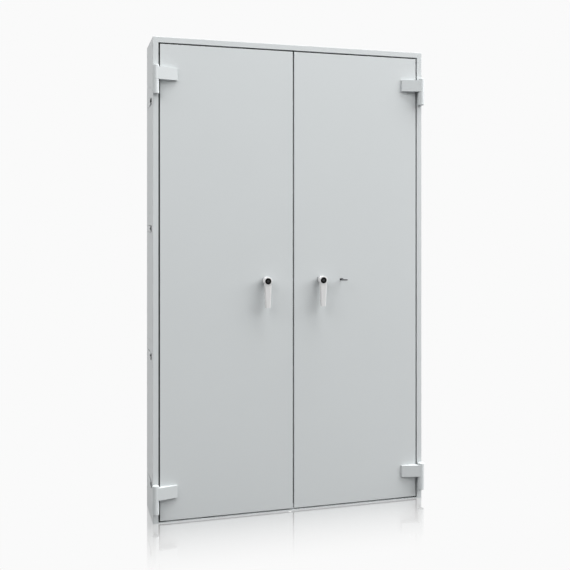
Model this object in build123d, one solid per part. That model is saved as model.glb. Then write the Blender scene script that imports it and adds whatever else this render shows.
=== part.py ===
from build123d import *
import os

# A double leaf vault door in its steel frame, in millimetres.
# The origin is in the middle of the threshold's underside. +X is to the right as seen from the
# front, +Y goes into the wall and +Z is up. The front face of the frame lies at y = -DEPTH / 2.
# Across the frame, "inward" is measured from its outer face and "depth" from its front face.

# Frame
WIDTH = 1320.0
HEIGHT = 2200.0
DEPTH = 260.0
SHEET = 3.0
SILL_THICKNESS = 3.0
FACE_WIDTH = 25.0
SIDE_GAP = 7.0
FLOOR_GAP = 7.0
REBATE_DEPTH = 16.0
REBATE_STEP = 14.0
STOP_CLEARANCE = 8.0
STOP_STEP = 35.0
CORNER_RADIUS = 1.5

# Seals
SEAL_WIDTH = 12.0
SEAL_THICKNESS = 3.0
SEAL_EDGE = 1.0

# Leaves
PLATE = 8.0
PLATE_EDGE = 1.0
LEAF_DEPTH = 80.0
BACK_SHEET = 3.0
CORE_INSET = 14.0
MEETING_BEVEL = 7.0
EDGE_STRIP_WIDTH = 30.0
EDGE_STRIP_THICKNESS = 2.0
EDGE_STRIP_DEPTH = 16.0
BACK_PANEL_MARGIN = 60.0

# Hinges
HINGE_INWARD = 11.0
HINGE_PROUD = 16.0
BARREL_RADIUS = 15.0
BARREL_LENGTH = 131.0
LOWER_HINGE_BOTTOM = 47.0
UPPER_HINGE_DROP = 130.0
STRAP_HEIGHT = 55.0
STRAP_REACH = 98.0
STRAP_TIP = 9.0
STRAP_BELOW_TOP = 10.0
STRAP_UNDERCUT = 5.5
STRAP_SEAT_MARGIN = 4.0
STRAP_EDGE = 1.0
BARREL_EDGE = 2.0
KNUCKLE_GAP = 0.5
PIN_RADIUS = 7.0
PIN_CLEARANCE = 0.05
PIN_BELOW = 42.0
PIN_ABOVE = 48.0
KNUCKLE_FOOT = 20.0

# Handles
HANDLE_FROM_MIDDLE = 135.0
HANDLE_HEIGHT = 1088.0
COLLAR_RADIUS = 18.5
COLLAR_LENGTH = 20.0
COLLAR_GAP = 0.5
HUB_RADIUS = 20.0
HUB_FACE = 46.0
HUB_EDGE = 1.5
LEVER_REACH = 123.0
LEVER_WIDE = 34.0
LEVER_TIP = 23.0
LEVER_BACK = 30.0
LEVER_FRONT = 45.0
LEVER_BEVEL = 4.0
LEVER_BEVEL_DEPTH = 1.5
SPINDLE_RADIUS = 8.0
SPINDLE_CLEARANCE = 0.05
SPINDLE_DEPTH = 24.0
CAP_RADIUS = 14.5
CAP_THICKNESS = 3.0
CAP_SUNK = 1.5
CAP_EDGE = 1.0
CAP_DISH_RADIUS = 7.0
CAP_DISH = 1.0

# Lock
KEY_FROM_HANDLE = 106.0
LOCK_WIDTH = 19.0
LOCK_HEIGHT = 9.0
LOCK_DEPTH = 20.0
KEYHOLE_RADIUS = 3.2
KEYHOLE_SLOT = 15.0
KEYHOLE_SLOT_HEIGHT = 3.0
KEY_RADIUS = 2.9
KEY_IN = 14.0
KEY_OUT = 34.0
KEY_COLLAR_RADIUS = 3.8
KEY_COLLAR_LENGTH = 3.0
KEY_COLLAR_OUT = 2.0
BOW_LENGTH = 24.0
BOW_WIDTH = 30.0
BOW_WALL = 5.0
BOW_THICKNESS = 5.0

# Bolt work in the meeting edges
BOLT_RADIUS = 12.5
BOLT_CLEARANCE = 0.5
BOLT_LENGTH = 60.0
BOLT_RECESS = 2.0
BOLT_COUNT = 5
BOLT_END_MARGIN = 239.0

# Wall fixings in the frame's sides
DOWEL_RADIUS = 7.0
DOWEL_COUNT = 4
LOWEST_DOWEL = 230.0
HIGHEST_DOWEL_DROP = 212.0
ANCHOR_HEIGHT = 28.0
ANCHOR_BELOW_DOWEL = 57.0
ANCHOR_ROOT = 214.0
ANCHOR_TIP = 59.0
ANCHOR_NOTCH = 46.0
ANCHOR_SPRUNG = 4.5
ANCHOR_CUT = 1.5

# Places worked out from the sizes above
FRONT = -DEPTH / 2
HALF = WIDTH / 2
STEP_INWARD = FACE_WIDTH + REBATE_STEP
STOP_DEPTH = LEAF_DEPTH + STOP_CLEARANCE
REVEAL_INWARD = STEP_INWARD + STOP_STEP
LEAF_OUTER = HALF - FACE_WIDTH - SIDE_GAP
LEAF_INNER = SIDE_GAP / 2
LEAF_BOTTOM = SILL_THICKNESS + FLOOR_GAP
LEAF_TOP = HEIGHT - FACE_WIDTH - SIDE_GAP
HINGE_X = HALF - HINGE_INWARD
HINGE_Y = FRONT - HINGE_PROUD
HINGE_BOTTOMS = {"bottom": LOWER_HINGE_BOTTOM, "top": HEIGHT - UPPER_HINGE_DROP - BARREL_LENGTH}
STRAP_LOW = BARREL_LENGTH - STRAP_BELOW_TOP - STRAP_HEIGHT
KEY_X = HANDLE_FROM_MIDDLE + KEY_FROM_HANDLE
THROUGH = 10.0


def evenly(first, last, count):
    """Places spread evenly from the first to the last."""
    return [first + (last - first) * index / (count - 1) for index in range(count)]


DOWEL_HEIGHTS = evenly(LOWEST_DOWEL, HEIGHT - HIGHEST_DOWEL_DROP, DOWEL_COUNT)
BOLT_HEIGHTS = evenly(LEAF_BOTTOM + BOLT_END_MARGIN, LEAF_TOP - BOLT_END_MARGIN, BOLT_COUNT)


def folded(path):
    """The closed outline of a sheet folded along a path, with the sheet on the path's left."""
    points = [Vector(*point) for point in path]
    runs = [(end - start).normalized() for start, end in zip(points, points[1:])]
    hidden = []
    for index, point in enumerate(points):
        before = runs[max(index - 1, 0)]
        after = runs[min(index, len(runs) - 1)]
        left_before = Vector(-before.Y, before.X)
        left_after = Vector(-after.Y, after.X)
        mitre = (left_before + left_after) * (1 / (1 + left_before.dot(left_after)))
        hidden.append(point + mitre * SHEET)
    return Polyline(*points, *reversed(hidden), close=True)


def run_of(outline, length):
    """A length of profile, with inward along X, depth along Y and its length along Z."""
    return extrude(make_face(outline), length)


def casing_run(length):
    """The outer side and the narrow face of the frame, folded from one sheet."""
    run = run_of(folded([(FACE_WIDTH, 0), (0, 0), (0, DEPTH)][::-1]), length)
    corner = run.edges().filter_by(Axis.Z).sort_by_distance((0, 0, length / 2))[0]
    return fillet(corner, CORNER_RADIUS)


def rebate_run(length):
    """The stepped inside of the frame: seal step, stop step, reveal and rear flange."""
    path = [
        (FACE_WIDTH, SHEET),
        (FACE_WIDTH, REBATE_DEPTH),
        (STEP_INWARD, REBATE_DEPTH),
        (STEP_INWARD, STOP_DEPTH),
        (REVEAL_INWARD, STOP_DEPTH),
        (REVEAL_INWARD, DEPTH),
        (SHEET, DEPTH),
    ]
    return run_of(folded(path), length)


def seal_run(length):
    """The soft strip that the leaf's plate closes against."""
    inward = (FACE_WIDTH + STEP_INWARD) / 2
    place = Pos(inward, REBATE_DEPTH - SEAL_THICKNESS / 2, length / 2)
    strip = place * Box(SEAL_WIDTH, SEAL_THICKNESS, length)
    front = strip.faces().sort_by(Axis.Y)[0]
    return fillet(front.edges().filter_by(Axis.Z), SEAL_EDGE)


def mitred(run, corners):
    """The run with its ends cut along the lines between the corners, given as (x, z)."""
    region = make_face(Polyline(*[(x, 0, z) for x, z in corners], close=True))
    return run & extrude(region, DEPTH + THROUGH, both=True)


def jamb(profile):
    """A profile stood up as the left side of the frame."""
    reach = REVEAL_INWARD + THROUGH
    run = Pos(-HALF, FRONT, SILL_THICKNESS) * profile(HEIGHT - SILL_THICKNESS)
    corners = [(-HALF, 0), (-HALF, HEIGHT), (-HALF + reach, HEIGHT - reach), (-HALF + reach, 0)]
    return mitred(run, corners)


def head(profile):
    """A profile laid across the top of the frame."""
    reach = REVEAL_INWARD + THROUGH
    run = Pos(-HALF, FRONT, HEIGHT) * Rot(0, 90, 0) * profile(WIDTH)
    corners = [(-HALF, HEIGHT), (HALF, HEIGHT), (HALF - reach, HEIGHT - reach), (-HALF + reach, HEIGHT - reach)]
    return mitred(run, corners)


def sill():
    """The flat threshold plate that the sides stand on."""
    return Pos(0, 0, SILL_THICKNESS / 2) * Box(WIDTH, DEPTH, SILL_THICKNESS)


def dowel_holes(inward, wall):
    """Drills for the dowels through one wall of the left side."""
    drills = [
        Pos(-HALF + inward, 0, height) * Rot(0, 90, 0) * Cylinder(DOWEL_RADIUS, 2 * wall)
        for height in DOWEL_HEIGHTS
    ]
    return Compound(drills)


def anchor_middle(height):
    return height - ANCHOR_BELOW_DOWEL - ANCHOR_HEIGHT / 2


def anchor_windows():
    """The slots in the side sheet that the sprung wall anchors are cut from."""
    length = ANCHOR_ROOT - ANCHOR_TIP + ANCHOR_CUT
    middle = FRONT + ANCHOR_ROOT - length / 2
    slot = Box(4 * SHEET, length, ANCHOR_HEIGHT + 2 * ANCHOR_CUT)
    return Compound([Pos(-HALF, middle, anchor_middle(height)) * slot for height in DOWEL_HEIGHTS])


def wall_anchor(height):
    """One tongue of the side sheet, sprung outwards at its notched front end."""
    plan = Polyline(
        (-HALF, FRONT + ANCHOR_ROOT),
        (-HALF + SHEET, FRONT + ANCHOR_ROOT),
        (-HALF + SHEET - ANCHOR_SPRUNG, FRONT + ANCHOR_TIP),
        (-HALF - ANCHOR_SPRUNG, FRONT + ANCHOR_TIP),
        close=True,
    )
    middle = anchor_middle(height)
    tongue = Pos(0, 0, middle - ANCHOR_HEIGHT / 2) * extrude(make_face(plan), ANCHOR_HEIGHT)
    notch = Polyline(
        (-HALF, FRONT + ANCHOR_TIP, middle - ANCHOR_HEIGHT / 2),
        (-HALF, FRONT + ANCHOR_TIP, middle + ANCHOR_HEIGHT / 2),
        (-HALF, FRONT + ANCHOR_TIP + ANCHOR_NOTCH, middle),
        close=True,
    )
    return tongue - extrude(make_face(notch), THROUGH, both=True)


def hinge_pin(length_above, radius):
    """A bar along the hinge axis, from inside the lower knuckle to a height above the joint."""
    bottom = STRAP_LOW - KNUCKLE_GAP / 2 - PIN_BELOW
    length = PIN_BELOW + KNUCKLE_GAP / 2 + length_above
    return Pos(0, 0, bottom + length / 2) * Cylinder(radius, length)


def frame_knuckle():
    """The knuckle on the frame with its pin, around the hinge axis, from the barrel's bottom up."""
    length = STRAP_LOW - KNUCKLE_GAP
    barrel = Pos(0, 0, length / 2) * Cylinder(BARREL_RADIUS, length)
    barrel = chamfer(barrel.edges().group_by(Axis.Z)[0], BARREL_EDGE)
    foot_height = length - 2 * BARREL_EDGE
    foot = Pos(0, HINGE_PROUD / 2, length / 2) * Box(KNUCKLE_FOOT, HINGE_PROUD, foot_height)
    return barrel + foot + hinge_pin(PIN_ABOVE, PIN_RADIUS)


def hinge_strap():
    """The knuckle on the leaf with its wedge-shaped strap, around the axis of a left hinge."""
    leaf_edge = HINGE_X - LEAF_OUTER
    face = HINGE_PROUD
    plan = Polyline(
        (0, -BARREL_RADIUS),
        (STRAP_REACH, face - STRAP_TIP),
        (STRAP_REACH, face),
        (leaf_edge + STRAP_SEAT_MARGIN, face),
        (leaf_edge + STRAP_SEAT_MARGIN, face - STRAP_UNDERCUT),
        (0, face - STRAP_UNDERCUT),
        close=True,
    )
    strap = extrude(make_face(plan), STRAP_HEIGHT)
    tip = strap.faces().sort_by(Axis.X)[-1]
    strap = fillet(tip.edges().sort_by(Axis.Y)[0], STRAP_EDGE)
    length = BARREL_LENGTH - STRAP_LOW
    barrel = Pos(0, 0, length / 2) * Cylinder(BARREL_RADIUS, length)
    barrel = chamfer(barrel.edges().group_by(Axis.Z)[-1], BARREL_EDGE)
    knuckle = Pos(0, 0, STRAP_LOW) * (barrel + strap)
    bore = hinge_pin(PIN_ABOVE + KNUCKLE_GAP, PIN_RADIUS + PIN_CLEARANCE)
    return knuckle - bore


def leaf_plate():
    """The front plate of the left leaf, flush with the frame, its front edges rounded."""
    width = LEAF_OUTER - LEAF_INNER
    height = LEAF_TOP - LEAF_BOTTOM
    middle = ((LEAF_OUTER + LEAF_INNER) / 2, FRONT + PLATE / 2, (LEAF_TOP + LEAF_BOTTOM) / 2)
    plate = Pos(-middle[0], middle[1], middle[2]) * Box(width, PLATE, height)
    return fillet(plate.faces().sort_by(Axis.Y)[0].edges(), PLATE_EDGE)


def bevel_at(depth):
    """How far the meeting edge has drawn back from the plate's edge at a depth."""
    return MEETING_BEVEL * (depth - PLATE) / (LEAF_DEPTH - PLATE)


def leaf_core():
    """The filled body behind the left leaf's plate, with the drawn-back meeting edge."""
    rear = LEAF_DEPTH - BACK_SHEET
    outline = Polyline(
        (-LEAF_OUTER + CORE_INSET, FRONT + PLATE),
        (-LEAF_INNER, FRONT + PLATE),
        (-LEAF_INNER - bevel_at(rear), FRONT + rear),
        (-LEAF_OUTER + CORE_INSET, FRONT + rear),
        close=True,
    )
    height = LEAF_TOP - LEAF_BOTTOM - 2 * CORE_INSET
    core = Pos(0, 0, LEAF_BOTTOM + CORE_INSET) * extrude(make_face(outline), height)
    return core - edge_strip()


def edge_strip():
    """The fire strip let into the left leaf's meeting edge."""
    first = EDGE_STRIP_DEPTH
    last = EDGE_STRIP_DEPTH + EDGE_STRIP_WIDTH
    outline = Polyline(
        (-LEAF_INNER - bevel_at(first), FRONT + first),
        (-LEAF_INNER - bevel_at(last), FRONT + last),
        (-LEAF_INNER - bevel_at(last) - EDGE_STRIP_THICKNESS, FRONT + last),
        (-LEAF_INNER - bevel_at(first) - EDGE_STRIP_THICKNESS, FRONT + first),
        close=True,
    )
    height = LEAF_TOP - LEAF_BOTTOM - 2 * CORE_INSET
    return Pos(0, 0, LEAF_BOTTOM + CORE_INSET) * extrude(make_face(outline), height)


def leaf_back():
    """The cover sheet on the back of the left leaf."""
    inner = LEAF_INNER + MEETING_BEVEL
    outer = LEAF_OUTER - CORE_INSET
    height = LEAF_TOP - LEAF_BOTTOM - 2 * CORE_INSET
    middle_z = (LEAF_TOP + LEAF_BOTTOM) / 2
    place = Pos(-(inner + outer) / 2, FRONT + LEAF_DEPTH - BACK_SHEET / 2, middle_z)
    return place * Box(outer - inner, BACK_SHEET, height)


def back_panel():
    """The screwed lid over the bolt work, on the left leaf's back cover."""
    inner = LEAF_INNER + MEETING_BEVEL + BACK_PANEL_MARGIN
    outer = LEAF_OUTER - CORE_INSET - BACK_PANEL_MARGIN
    height = LEAF_TOP - LEAF_BOTTOM - 2 * CORE_INSET - 2 * BACK_PANEL_MARGIN
    middle_z = (LEAF_TOP + LEAF_BOTTOM) / 2
    place = Pos(-(inner + outer) / 2, FRONT + LEAF_DEPTH + BACK_SHEET / 2, middle_z)
    panel = place * Box(outer - inner, BACK_SHEET, height)
    return chamfer(panel.faces().sort_by(Axis.Y)[-1].edges(), BACK_SHEET / 2)


def along_y(radius, front, rear):
    """A round bar with its axis along Y through the origin, between two places in y."""
    return Pos(0, (front + rear) / 2, 0) * Rot(90, 0, 0) * Cylinder(radius, rear - front)


def handle_collar():
    """The fixed bearing collar on the leaf, around the handle's axis."""
    collar = along_y(COLLAR_RADIUS, FRONT - COLLAR_LENGTH, FRONT)
    return collar - along_y(SPINDLE_RADIUS + SPINDLE_CLEARANCE, FRONT - HUB_FACE, FRONT + PLATE)


def lever_arm():
    """The hanging arm, tapered in width, with a shallow bevel along both edges of its front."""
    half_root = LEVER_WIDE / 2
    half_tip = LEVER_TIP / 2
    outline = Polyline(
        (-half_root, 0, 0),
        (half_root, 0, 0),
        (half_tip, 0, -LEVER_REACH),
        (-half_tip, 0, -LEVER_REACH),
        close=True,
    )
    arm = Pos(0, FRONT - LEVER_BACK, 0) * extrude(make_face(outline), LEVER_FRONT - LEVER_BACK, dir=(0, -1, 0))
    front = arm.faces().sort_by(Axis.Y)[0]
    long_edges = front.edges().filter_by(lambda edge: edge.length > LEVER_REACH - 1)
    return chamfer(long_edges, LEVER_BEVEL, LEVER_BEVEL_DEPTH, reference=front)


def handle_lever():
    """The lever with its hub and spindle, hanging straight down from the axis."""
    hub = along_y(HUB_RADIUS, FRONT - HUB_FACE, FRONT - COLLAR_LENGTH - COLLAR_GAP)
    hub = chamfer(hub.edges().sort_by(Axis.Y)[0], HUB_EDGE)
    spindle = along_y(SPINDLE_RADIUS, FRONT - HUB_FACE / 2, FRONT + SPINDLE_DEPTH)
    seat = along_y(CAP_RADIUS, FRONT - HUB_FACE - THROUGH, FRONT - HUB_FACE + CAP_SUNK)
    return hub + lever_arm() + spindle - seat


def handle_cap():
    """The black cap let into the hub's face, with its shallow dish."""
    front = FRONT - HUB_FACE + CAP_SUNK - CAP_THICKNESS
    cap = along_y(CAP_RADIUS, front, front + CAP_THICKNESS)
    cap = chamfer(cap.edges().sort_by(Axis.Y)[0], CAP_EDGE)
    return cap - along_y(CAP_DISH_RADIUS, front - THROUGH, front + CAP_DISH)


def keyhole_cut(front, rear):
    """The keyhole: a round hole with a slot on both sides for the bits."""
    slot = Pos(0, (front + rear) / 2, 0) * Box(KEYHOLE_SLOT, rear - front, KEYHOLE_SLOT_HEIGHT)
    return along_y(KEYHOLE_RADIUS, front, rear) + slot


def lock_bar(front, rear):
    """The oblong outline of the lock's guide as a bar along Y, between two places in y."""
    half = LOCK_HEIGHT / 2
    ends = LOCK_WIDTH / 2 - half
    middle = Pos(0, (front + rear) / 2, 0) * Box(2 * ends, rear - front, LOCK_HEIGHT)
    return middle + Pos(-ends, 0, 0) * along_y(half, front, rear) + Pos(ends, 0, 0) * along_y(half, front, rear)


def lock_face():
    """The lock's black guide around the keyhole, flush with the leaf's face."""
    rear = FRONT + LOCK_DEPTH
    return lock_bar(FRONT, rear) - keyhole_cut(FRONT - THROUGH, rear + THROUGH)


def key():
    """The double bit key, with its bow lying level in front of the leaf."""
    stem = along_y(KEY_RADIUS, FRONT - KEY_OUT, FRONT + KEY_IN)
    collar_rear = FRONT - KEY_COLLAR_OUT
    collar = along_y(KEY_COLLAR_RADIUS, collar_rear - KEY_COLLAR_LENGTH, collar_rear)
    middle = FRONT - KEY_OUT - BOW_LENGTH / 2 + BOW_WALL / 2
    ring = Ellipse(BOW_WIDTH / 2, BOW_LENGTH / 2) - Ellipse(BOW_WIDTH / 2 - BOW_WALL, BOW_LENGTH / 2 - BOW_WALL)
    bow = Pos(0, middle, -BOW_THICKNESS / 2) * extrude(ring, BOW_THICKNESS)
    return stem + collar + bow


def bolts(radius, inset, length):
    """Round bolts in the left leaf's meeting edge, from an inset behind the edge."""
    depth = EDGE_STRIP_DEPTH + EDGE_STRIP_WIDTH / 2
    edge = -LEAF_INNER - bevel_at(depth) - inset
    bars = [
        Pos(edge - length / 2, FRONT + depth, height) * Rot(0, 90, 0) * Cylinder(radius, length)
        for height in BOLT_HEIGHTS
    ]
    return Compound(bars)


def bolt_holes():
    """Drills from outside the meeting edge to the bolts' far ends."""
    return bolts(BOLT_RADIUS + BOLT_CLEARANCE, -MEETING_BEVEL, BOLT_LENGTH + BOLT_RECESS + MEETING_BEVEL)


def right_of(shape):
    """The same piece on the door's right side."""
    return mirror(shape, Plane.YZ)


def frame_pieces():
    casing = jamb(casing_run) - dowel_holes(0, SHEET + CORNER_RADIUS) - anchor_windows()
    rebate = jamb(rebate_run) - dowel_holes(REVEAL_INWARD, SHEET + CORNER_RADIUS)
    seal = jamb(seal_run)
    pieces = {
        "sill": sill(),
        "casing_left": casing,
        "casing_right": right_of(casing),
        "casing_head": head(casing_run),
        "rebate_left": rebate,
        "rebate_right": right_of(rebate),
        "rebate_head": head(rebate_run),
        "seal_left": seal,
        "seal_right": right_of(seal),
        "seal_head": head(seal_run),
    }
    for number, height in enumerate(DOWEL_HEIGHTS, 1):
        tongue = wall_anchor(height)
        pieces[f"wall_anchor_left_{number}"] = tongue
        pieces[f"wall_anchor_right_{number}"] = right_of(tongue)
    for level, bottom in HINGE_BOTTOMS.items():
        knuckle = Pos(-HINGE_X, HINGE_Y, bottom) * frame_knuckle()
        pieces[f"hinge_knuckle_left_{level}"] = knuckle
        pieces[f"hinge_knuckle_right_{level}"] = right_of(knuckle)
    return pieces


def leaf_pieces(side, drilled, finish):
    """The pieces that both leaves have, with the drills taken out of the left-hand form."""
    pieces = {
        f"leaf_plate_{side}": finish(leaf_plate() - drilled),
        f"leaf_core_{side}": finish(leaf_core() - drilled - bolt_holes()),
        f"leaf_back_{side}": finish(leaf_back()),
        f"bolt_lid_{side}": finish(back_panel()),
        f"meeting_strip_{side}": finish(edge_strip() - bolt_holes()),
    }
    for level, bottom in HINGE_BOTTOMS.items():
        strap = Pos(-HINGE_X, HINGE_Y, bottom) * hinge_strap()
        pieces[f"hinge_strap_{side}_{level}"] = finish(strap)
    at_handle = Pos(-HANDLE_FROM_MIDDLE, 0, HANDLE_HEIGHT)
    pieces[f"handle_collar_{side}"] = finish(at_handle * handle_collar())
    pieces[f"handle_lever_{side}"] = finish(at_handle * handle_lever())
    pieces[f"handle_cap_{side}"] = finish(at_handle * handle_cap())
    return pieces


def spindle_hole():
    depth = SPINDLE_DEPTH + COLLAR_GAP
    drill = along_y(SPINDLE_RADIUS + SPINDLE_CLEARANCE, FRONT - THROUGH, FRONT + depth)
    return Pos(-HANDLE_FROM_MIDDLE, 0, HANDLE_HEIGHT) * drill


def lock_hole():
    return Pos(-KEY_X, 0, HANDLE_HEIGHT) * lock_bar(FRONT - THROUGH, FRONT + LOCK_DEPTH)


def all_pieces():
    pieces = frame_pieces()
    pieces.update(leaf_pieces("left", spindle_hole(), lambda shape: shape))
    pieces.update(leaf_pieces("right", spindle_hole() + lock_hole(), right_of))
    pieces["lock_bolts"] = right_of(bolts(BOLT_RADIUS, BOLT_RECESS, BOLT_LENGTH))
    at_lock = Pos(KEY_X, 0, HANDLE_HEIGHT)
    pieces["lock_face"] = at_lock * lock_face()
    pieces["key"] = at_lock * key()
    return pieces


os.makedirs("parts", exist_ok=True)
for node, shape in all_pieces().items():
    export_step(shape, f"parts/{node}.step")
    print(node, round(sum(solid.volume for solid in shape.solids()) / 1000), "cm3")
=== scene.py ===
# %% [markdown]
# A double-leaf vault door, dressed and lit as a product photograph.
# The steel frame, the leaves, hinges, levers and key come from the CAD model, at their real size.
# This lesson gives them their finishes, adds the small fasteners, and sets up floor, light and camera.

# %% Load the frame
import bmesh
import bpy
import math
from mathutils import Matrix, Vector


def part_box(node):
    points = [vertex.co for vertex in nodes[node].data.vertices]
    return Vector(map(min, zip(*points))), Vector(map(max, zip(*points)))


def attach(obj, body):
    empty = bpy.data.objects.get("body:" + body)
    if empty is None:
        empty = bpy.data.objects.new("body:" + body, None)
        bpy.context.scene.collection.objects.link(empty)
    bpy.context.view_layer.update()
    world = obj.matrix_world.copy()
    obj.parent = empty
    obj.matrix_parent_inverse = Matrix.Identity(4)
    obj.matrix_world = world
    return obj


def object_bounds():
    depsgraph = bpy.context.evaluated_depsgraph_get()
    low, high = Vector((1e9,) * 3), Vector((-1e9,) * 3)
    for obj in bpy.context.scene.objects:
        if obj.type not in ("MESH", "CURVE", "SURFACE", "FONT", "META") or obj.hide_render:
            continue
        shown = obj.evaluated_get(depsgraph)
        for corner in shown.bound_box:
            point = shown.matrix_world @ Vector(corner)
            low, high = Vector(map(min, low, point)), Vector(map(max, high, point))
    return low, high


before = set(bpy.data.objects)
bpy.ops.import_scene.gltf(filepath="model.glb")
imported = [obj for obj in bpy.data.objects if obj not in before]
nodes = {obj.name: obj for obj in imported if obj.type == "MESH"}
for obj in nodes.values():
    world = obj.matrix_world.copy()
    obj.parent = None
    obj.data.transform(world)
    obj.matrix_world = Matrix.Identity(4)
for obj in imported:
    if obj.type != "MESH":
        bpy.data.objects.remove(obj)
cad_low, cad_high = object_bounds()
print("CAD nodes:", len(nodes), "box:", [round(v, 3) for v in (*cad_low, *cad_high)])

# %% [markdown]
# Every new thing in the scene is an object with some data, such as a mesh, a lens or a lamp, and it
# shows only once it is linked to the scene. One function does both.

# %% New objects
MM = 0.001


def placed(name, data):
    """A new object with this data, linked to the scene."""
    made = bpy.data.objects.new(name, data)
    bpy.context.scene.collection.objects.link(made)
    return made


# %% [markdown]
# The camera stands left of the door at chest height, and looks level, so the verticals stay parallel.
# The photograph was cropped low instead of tilted, and a small downward shift does the same here.

# %% Camera
PHOTO_PIXELS = 570
FOCAL_PIXELS = 797.7
HORIZON_ROW = 224.6
SENSOR_MM = 36.0
CAMERA_PLACE = Vector((-1.0521, -3.7533, 1.3508))
CAMERA_YAW = math.radians(15.58)

lens = bpy.data.cameras.new("photo_camera")
lens.sensor_width = SENSOR_MM
lens.lens = SENSOR_MM * FOCAL_PIXELS / PHOTO_PIXELS
lens.shift_y = (HORIZON_ROW - PHOTO_PIXELS / 2) / PHOTO_PIXELS
camera = placed("photo_camera", lens)
camera.location = CAMERA_PLACE
camera.rotation_euler = (math.radians(90), 0, -CAMERA_YAW)
bpy.context.scene.camera = camera
print("lens:", round(lens.lens, 2), "mm, shift:", round(lens.shift_y, 4))

# %% [markdown]
# Colours are written as sRGB hex values, as a paint maker would give them, and Blender wants them
# linear. One function does that. The others add nodes to a material: any node with its settings and
# links, a sum, a noise of a real size, and the skin with its relief that ends each material.

# %% Colour and node helpers
def linear(hex_code):
    """An sRGB hex colour as the linear RGBA that shaders want."""
    channels = [int(hex_code[i:i + 2], 16) / 255 for i in (0, 2, 4)]
    return [c / 12.92 if c <= 0.04045 else ((c + 0.055) / 1.055) ** 2.4 for c in channels] + [1.0]


def add(tree, kind, inputs=(), **settings):
    """One node: settings are its properties, and each input is a value or a socket to link."""
    made = tree.nodes.new(kind)
    for name, value in settings.items():
        setattr(made, name, value)
    for key, value in dict(inputs).items():
        if isinstance(value, bpy.types.NodeSocket):
            tree.links.new(value, made.inputs[key])
        else:
            made.inputs[key].default_value = value
    return made


def reckon(tree, operation, first, second):
    """The result of one sum on two values or sockets."""
    return add(tree, "ShaderNodeMath", {0: first, 1: second}, operation=operation).outputs[0]


def noise(tree, grain_mm, detail):
    """A noise fixed to the piece, with grains about this many millimetres across."""
    place = add(tree, "ShaderNodeTexCoord").outputs["Object"]
    return add(tree, "ShaderNodeTexNoise", {
        "Vector": place, "Scale": 1 / (grain_mm * MM), "Detail": detail}).outputs["Fac"]


def new_material(name):
    """An empty material, its node tree and its output node."""
    material = bpy.data.materials.new(name)
    material.use_nodes = True
    material.node_tree.nodes.clear()
    output = material.node_tree.nodes.new("ShaderNodeOutputMaterial")
    return material, material.node_tree, output


def skinned(material, output, looks, relief, strength, depth_mm):
    """The material, ended with a skin of these looks and with a fine relief on it."""
    tree = material.node_tree
    bump = add(tree, "ShaderNodeBump", {
        "Height": relief, "Strength": strength, "Distance": depth_mm * MM})
    skin = add(tree, "ShaderNodeBsdfPrincipled", {**looks, "Normal": bump.outputs[0]})
    tree.links.new(skin.outputs[0], output.inputs["Surface"])
    print("material:", material.name)
    return material


print("linear white:", linear("FFFFFF"))

# %% [markdown]
# Powder coat is sprayed on as dry paint and baked. It melts into a skin with a faint orange peel:
# soft dimples about 2 mm across, and here drawn 3 mm so that they show at this size.
# Its tone drifts by a percent or so over an arm's length, which keeps a big leaf from looking flat.

# %% Powder coat
CLOUDS_PER_METRE = 2.2
SPECK_MM = 5
NOISE_SUM_LOW = 0.6
NOISE_SUM_HIGH = 1.4
PEEL_STRENGTH = 0.35
PAINT_IOR = 1.5


def powder_coat(name, hex_code, roughness, peel_mm=3.0, depth_mm=0.05, drift=0.012):
    """Paint with an orange peel, whose tone drifts in clouds and fine specks."""
    material, tree, output = new_material(name)
    peel = noise(tree, peel_mm, 2.0)
    clouds = noise(tree, 1 / (CLOUDS_PER_METRE * MM), 3.0)
    specks = noise(tree, SPECK_MM, 1.0)
    tone = add(tree, "ShaderNodeMapRange", {
        "Value": reckon(tree, "ADD", clouds, specks),
        "From Min": NOISE_SUM_LOW, "From Max": NOISE_SUM_HIGH, "To Min": 1 - drift, "To Max": 1 + drift})
    colour = add(tree, "ShaderNodeVectorMath", {
        0: linear(hex_code)[:3], "Scale": tone.outputs[0]}, operation="SCALE")
    looks = {"Base Color": colour.outputs[0], "Roughness": roughness, "IOR": PAINT_IOR}
    return skinned(material, output, looks, peel, PEEL_STRENGTH, depth_mm)


LEAF_PAINT = powder_coat("leaf light grey powder coat", "C9CDCE", 0.45)
FRAME_PAINT = powder_coat("frame light grey powder coat", "C9CDCE", 0.45)
HINGE_PAINT = powder_coat("hinge light grey enamel", "C9CDCE", 0.4, peel_mm=2.0)
# The collar is the lever's lacquer made darker: painted shade for the shaded side of the collar under the
# hub.
COLLAR_SHADED_LACQUER = powder_coat("collar lacquer darkened as painted shade", "9C9D9F", 0.4, peel_mm=2.0, depth_mm=0.02)
LEVER_LACQUER = powder_coat("lever satin silver lacquer", "D3D3D3", 0.36, peel_mm=2.0, depth_mm=0.02)

# %% [markdown]
# The levers' caps are moulded black plastic with a fine spark-eroded grain, so they stay dark with a soft
# sheen. The lock's guide takes the same black as painted shade, standing for the shade deep inside the
# keyhole.
# The seals are extruded rubber, and the strips in the meeting edges are pressed graphite. They are black
# as such parts are, and they are also set in the gaps round the leaves as painted shade, which keeps the
# gaps dark.

# %% Black plastics and rubbers
GRAIN_LIFT = 1.35
GRAIN_STRENGTH = 0.4
BLACK_SHEEN = 0.15
# The numbers of the mix node's two colour inputs and of its colour output.
MIX_FIRST = 6
MIX_SECOND = 7
MIX_RESULT = 2


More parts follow.
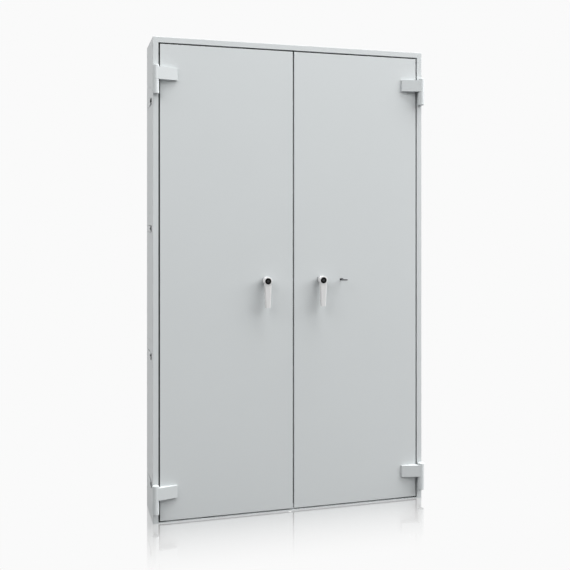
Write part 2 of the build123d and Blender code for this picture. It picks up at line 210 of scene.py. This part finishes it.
def black_compound(name, hex_code, roughness, grain_mm, depth_mm):
    """A dull black that is a little lighter on the tops of its grain."""
    material, tree, output = new_material(name)
    grain = noise(tree, grain_mm, 3.0)
    dark = linear(hex_code)
    lighter = [c * GRAIN_LIFT for c in dark[:3]] + [1.0]
    colour = add(tree, "ShaderNodeMix", {
        "Factor": grain, MIX_FIRST: dark, MIX_SECOND: lighter}, data_type="RGBA")
    looks = {
        "Base Color": colour.outputs[MIX_RESULT], "Roughness": roughness,
        "Specular IOR Level": BLACK_SHEEN}
    return skinned(material, output, looks, grain, GRAIN_STRENGTH, depth_mm)


# The lock's guide also takes this black, as painted shade inside the keyhole.
CAP_AND_KEYHOLE_SHADE_BLACK = black_compound("cap black moulded plastic and keyhole shade", "060606", 0.6, 0.6, 0.03)
# The seals and the meeting strips are black rubber and graphite, and also painted shade in the gaps round
# the leaves.
SEAL_RUBBER_AND_GAP_SHADE = black_compound("door seal black rubber and gap shade", "121212", 0.75, 1.2, 0.1)
FIRE_STRIP_AND_GAP_SHADE = black_compound("fire strip black graphite and gap shade", "161616", 0.8, 2.0, 0.1)

# %% [markdown]
# The key, the bolts and the screws are steel with a thin coat of nickel, phosphate, zinc or black.
# The bolts are darker still, as painted shade where they show in the gaps round the leaves.
# A fine uneven grain breaks up their highlights. A metal keeps the default IOR, and its colour is
# its own.

# %% Coated steel
STEEL_ROUGHNESS_DRIFT = 0.08
STEEL_STRENGTH = 0.3
STEEL_DEPTH_MM = 0.02


def coated_steel(name, hex_code, roughness, grain_mm):
    """A metal whose roughness varies a little with its grain."""
    material, tree, output = new_material(name)
    grain = noise(tree, grain_mm, 2.0)
    rough = add(tree, "ShaderNodeMapRange", {
        "Value": grain, "To Min": roughness - STEEL_ROUGHNESS_DRIFT,
        "To Max": roughness + STEEL_ROUGHNESS_DRIFT})
    looks = {"Base Color": linear(hex_code), "Metallic": 1.0, "Roughness": rough.outputs[0]}
    return skinned(material, output, looks, grain, STEEL_STRENGTH, STEEL_DEPTH_MM)


# The bolts' dark grey is partly painted shade, so that they stay as dark as the gaps they sit in.
BOLT_STEEL_AND_GAP_SHADE = coated_steel("bolt phosphated steel darkened as gap shade", "5E5F62", 0.42, 0.8)
KEY_STEEL = coated_steel("key nickelled steel", "6E6F72", 0.3, 0.5)
ZINC_SCREW = coated_steel("screw zinc plated steel", "B4B5B3", 0.35, 0.7)
CAP_SCREW = coated_steel("cap screw blackened steel", "3E3E40", 0.4, 0.5)

# %% [markdown]
# Each CAD node keeps its shape and only takes its finish, by the start of its name.

# %% Finishes for the CAD nodes
FINISHES = {
    "casing": FRAME_PAINT, "rebate": FRAME_PAINT, "sill": FRAME_PAINT, "wall_anchor": FRAME_PAINT,
    # Seals and meeting strips: black, also as painted shade in the gaps.
    "seal": SEAL_RUBBER_AND_GAP_SHADE, "meeting_strip": FIRE_STRIP_AND_GAP_SHADE,
    "leaf": LEAF_PAINT, "bolt_lid": LEAF_PAINT,
    # The collar takes the darkened lacquer, which is painted shade.
    "hinge": HINGE_PAINT, "handle_lever": LEVER_LACQUER, "handle_collar": COLLAR_SHADED_LACQUER,
    # The lock's guide takes the caps' black as painted shade inside the keyhole.
    "handle_cap": CAP_AND_KEYHOLE_SHADE_BLACK, "lock_bolts": BOLT_STEEL_AND_GAP_SHADE, "lock_face": CAP_AND_KEYHOLE_SHADE_BLACK, "key": KEY_STEEL,
}
for name, piece in nodes.items():
    start = max((word for word in FINISHES if name.startswith(word)), key=len)
    piece.data.materials.clear()
    piece.data.materials.append(FINISHES[start])
print("finished nodes:", len(nodes))

# %% [markdown]
# The screws have low round heads with a round recess. A head is five rings of points, joined in turn:
# up the side, over the rounded rim, across the top, and down into the recess.

# %% Screw head
# Radius, height and radius of the recess, for the screws in the lids and in the caps.
LID_HEAD_SIZES = (4.5 * MM, 2.5 * MM, 2.0 * MM)
CAP_HEAD_SIZES = (6 * MM, 1.6 * MM, 3 * MM)
HEAD_SIDES = 24
# Shares of the head's height or radius.
RIM_HEIGHT = 0.6
CROWN_RADIUS = 0.8
RECESS_FLOOR = 0.4


def screw_head(radius, height, recess):
    """The mesh of a head that stands up along Z from the origin."""
    shape = bmesh.new()
    profile = [
        (radius, 0), (radius, height * RIM_HEIGHT), (radius * CROWN_RADIUS, height),
        (recess, height), (recess, height * RECESS_FLOOR)]
    angles = [2 * math.pi * i / HEAD_SIDES for i in range(HEAD_SIDES)]
    rings = [
        [shape.verts.new((r * math.cos(angle), r * math.sin(angle), z)) for angle in angles]
        for r, z in profile]
    for lower, upper in zip(rings, rings[1:]):
        for i in range(HEAD_SIDES):
            after = (i + 1) % HEAD_SIDES
            shape.faces.new((lower[i], lower[after], upper[after], upper[i]))
    shape.faces.new(rings[-1])
    shape.faces.new(list(reversed(rings[0])))
    mesh = bpy.data.meshes.new("screw_head")
    shape.to_mesh(mesh)
    shape.free()
    return mesh


lid_head = placed("screw_head", screw_head(*LID_HEAD_SIZES))
print("screw head faces:", len(lid_head.data.polygons))

# %% [markdown]
# The lids on the leaves' backs come off for service, so each is held by a row of screws round its
# edge. They repeat along a rectangle, which Geometry Nodes does well: a rectangular curve, points
# at an even pitch, and one screw head on every point.

# %% Screws round a rectangle
LID_MARGIN = 14 * MM
LID_PITCH = 220 * MM


def screw_tree():
    """Screw heads at an even pitch round a rectangle that stands in the XZ plane, facing +Y."""
    tree = bpy.data.node_groups.new("screws_round_lid", "GeometryNodeTree")
    tree.interface.new_socket("Geometry", in_out="OUTPUT", socket_type="NodeSocketGeometry")
    for name, kind in (("Width", "Float"), ("Height", "Float"), ("Pitch", "Float"),
                       ("Centre", "Vector"), ("Head", "Object"), ("Finish", "Material")):
        tree.interface.new_socket(name, in_out="INPUT", socket_type=f"NodeSocket{kind}")
    given = tree.nodes.new("NodeGroupInput").outputs
    loop = add(tree, "GeometryNodeCurvePrimitiveQuadrilateral", {
        "Width": given["Width"], "Height": given["Height"]})
    spaced = add(tree, "GeometryNodeResampleCurve", {
        "Curve": loop.outputs[0], "Length": given["Pitch"]}, mode="LENGTH")
    head = add(tree, "GeometryNodeObjectInfo", {"Object": given["Head"]})
    heads = add(tree, "GeometryNodeInstanceOnPoints", {
        "Points": spaced.outputs[0], "Instance": head.outputs["Geometry"]})
    stood = add(tree, "GeometryNodeTransform", {
        "Geometry": heads.outputs[0], "Rotation": (math.radians(-90), 0, 0),
        "Translation": given["Centre"]})
    real = add(tree, "GeometryNodeRealizeInstances", {"Geometry": stood.outputs[0]})
    done = add(tree, "GeometryNodeSetMaterial", {"Geometry": real.outputs[0], "Material": given["Finish"]})
    out = tree.nodes.new("NodeGroupOutput")
    tree.links.new(done.outputs[0], out.inputs[0])
    return tree


def grown(name, tree, values):
    """The plain mesh object that a Geometry Nodes tree makes with these inputs."""
    holder = placed(name + "_holder", bpy.data.meshes.new(name + "_holder"))
    modifier = holder.modifiers.new("grow", "NODES")
    modifier.node_group = tree
    sockets = {s.name: s.identifier for s in tree.interface.items_tree if s.in_out == "INPUT"}
    for key, value in values.items():
        modifier[sockets[key]] = value
    holder.update_tag()
    bpy.context.view_layer.update()
    ready = holder.evaluated_get(bpy.context.evaluated_depsgraph_get())
    mesh = bpy.data.meshes.new_from_object(ready)
    bpy.data.objects.remove(holder)
    mesh.name = name
    print(name, "faces:", len(mesh.polygons))
    return placed(name, mesh)


lid_screws = screw_tree()
for side in ("left", "right"):
    low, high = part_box("bolt_lid_" + side)
    centre = Vector(((low.x + high.x) / 2, high.y, (low.z + high.z) / 2))
    piece = grown("lid_screws_" + side, lid_screws, {
        "Width": high.x - low.x - 2 * LID_MARGIN, "Height": high.z - low.z - 2 * LID_MARGIN,
        "Pitch": LID_PITCH, "Centre": centre, "Head": lid_head, "Finish": ZINC_SCREW})
    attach(piece, "leaf_" + side)
bpy.data.objects.remove(lid_head)

# %% [markdown]
# A screw in the middle of each black cap holds the lever on its spindle. In the photograph it is
# the small grey ring in the cap, with the dark recess in its middle.

# %% Screws in the caps
SCREW_SUNK = 1 * MM
for side in ("left", "right"):
    low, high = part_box("handle_cap_" + side)
    turn = Matrix.Rotation(math.radians(90), 4, "X")
    place = Matrix.Translation(((low.x + high.x) / 2, low.y + SCREW_SUNK, (low.z + high.z) / 2))
    mesh = screw_head(*CAP_HEAD_SIZES)
    mesh.transform(place @ turn)
    mesh.materials.append(CAP_SCREW)
    piece = placed("cap_screw_" + side, mesh)
    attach(piece, "handle_" + side)
    print(piece.name, "at", [round(v, 3) for v in place.translation])

# %% [markdown]
# The floor is polished and pale. To the eye it is as white as the backdrop, so camera and mirror rays
# see that white, and only its diffuse side lights the door from below. The mirror image of the door
# fades out within about half a metre of its front, as it does in the photograph, and so it does behind.

# %% Floor
BACKDROP = linear("FAFAFA")
FRONT_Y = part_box("casing_head")[0].y
BACK_Y = cad_high[1]
MIRROR_START = 0.66
MIRROR_REACH = 0.58
MIRROR_CURVE = 1.7
MIRROR_ROUGHNESS = 0.06
FLOOR_MATT = linear("707070")
FLOOR_SIZE = 30.0


def seen_by_eye(tree):
    """1 for camera, mirror and glass rays, which show the backdrop, and 0 for rays that only light."""
    path = add(tree, "ShaderNodeLightPath").outputs
    direct = reckon(tree, "MAXIMUM", path["Is Camera Ray"], path["Is Glossy Ray"])
    return reckon(tree, "MAXIMUM", direct, path["Is Transmission Ray"])


def mirror_share(tree):
    """How much of the floor is mirror, from its distance in front of the door or behind it."""
    place = add(tree, "ShaderNodeTexCoord").outputs["Object"]
    depth = add(tree, "ShaderNodeSeparateXYZ", {0: place}).outputs["Y"]
    ahead, behind = [
        add(tree, "ShaderNodeMapRange", {"Value": depth, "From Min": end, "From Max": face}).outputs[0]
        for end, face in ((FRONT_Y - MIRROR_REACH, FRONT_Y), (BACK_Y + MIRROR_REACH, BACK_Y))]
    near = reckon(tree, "MINIMUM", ahead, behind)
    curve = reckon(tree, "POWER", near, MIRROR_CURVE)
    return reckon(tree, "MULTIPLY", curve, MIRROR_START)


def floor_material():
    """White with a fading mirror image for the eye, and a matt grey for the light that it throws back."""
    material, tree, output = new_material("polished pale floor")
    white = add(tree, "ShaderNodeEmission", {"Color": BACKDROP, "Strength": 1.0})
    matt = add(tree, "ShaderNodeBsdfDiffuse", {"Color": FLOOR_MATT})
    shine = add(tree, "ShaderNodeBsdfGlossy", {
        "Color": linear("FFFFFF"), "Roughness": MIRROR_ROUGHNESS})
    shown = add(tree, "ShaderNodeMixShader", {
        0: mirror_share(tree), 1: white.outputs[0], 2: shine.outputs[0]})
    whole = add(tree, "ShaderNodeMixShader", {
        0: seen_by_eye(tree), 1: matt.outputs[0], 2: shown.outputs[0]})
    tree.links.new(whole.outputs[0], output.inputs["Surface"])
    return material


half = FLOOR_SIZE / 2
corners = [(-half, -half, 0), (half, -half, 0), (half, half, 0), (-half, half, 0)]
floor_mesh = bpy.data.meshes.new("studio_floor")
floor_mesh.from_pydata(corners, [], [(0, 1, 2, 3)])
floor_mesh.materials.append(floor_material())
floor = placed("studio_floor", floor_mesh)
print("the mirror image starts at", round(FRONT_Y, 3), "in front and", round(BACK_Y, 3), "behind")

# %% [markdown]
# Most of the light falls from a big soft box high above on the right, which draws the shadows to the
# lower left of the levers and deepens the underside of the straps. Three boxes about seven metres up
# fill in: the right one gives the straps their two tones, the left one lights the outer side, and the
# front one lifts the leaves. A weak box two metres above the door adds a little to its top, and one
# behind the door keeps its back readable. The others are far away, so that they light the leaves evenly.

# %% World and lamps
WORLD_STRENGTH = 0.05
DOOR_MIDDLE = Vector((0, FRONT_Y, 1.1))

world = bpy.data.worlds.new("studio")
bpy.context.scene.world = world
world.use_nodes = True
world_tree = world.node_tree
world_tree.nodes.clear()
ambient = add(world_tree, "ShaderNodeBackground", {"Color": linear("FFFFFF"), "Strength": WORLD_STRENGTH})
backdrop = add(world_tree, "ShaderNodeBackground", {"Color": BACKDROP, "Strength": 1.0})
sky = add(world_tree, "ShaderNodeMixShader", {
    0: seen_by_eye(world_tree), 1: ambient.outputs[0], 2: backdrop.outputs[0]})
add(world_tree, "ShaderNodeOutputWorld", {"Surface": sky.outputs[0]})


def soft_box(name, azimuth, height, distance, size, watts):
    """An area lamp that looks at the middle of the door and leaves no white patch in the floor."""
    away = Vector((
        math.sin(azimuth) * math.cos(height), -math.cos(azimuth) * math.cos(height), math.sin(height)))
    data = bpy.data.lights.new(name, "AREA")
    data.shape = "RECTANGLE"
    data.size, data.size_y = size
    data.energy = watts
    lamp = placed(name, data)
    lamp.location = DOOR_MIDDLE + away * distance
    lamp.rotation_euler = (-away).to_track_quat("-Z", "Y").to_euler()
    lamp.visible_glossy = False
    print(name, "at", [round(v, 2) for v in lamp.location])


# Azimuth from the front and height above the horizon in degrees, distance and size in metres, watts.
LAMPS = {
    "left": (-62, 38, 10.0, (9.0, 6.0), 610.0),
    "front": (38, 32, 12.0, (7.0, 7.0), 520.0),
    "right": (73, 30, 12.0, (7.0, 7.0), 970.0),
    "high": (74, 70, 14.0, (8.5, 8.5), 3120.0),
    "top": (15, 80, 3.4, (2.0, 2.0), 5.0),
    "back": (180, 42, 12.0, (5.0, 5.0), 900.0),
}
for name, (azimuth, height, distance, size, watts) in LAMPS.items():
    soft_box(name, math.radians(azimuth), math.radians(height), distance, size, watts)
bpy.context.scene.view_settings.view_transform = "Standard"
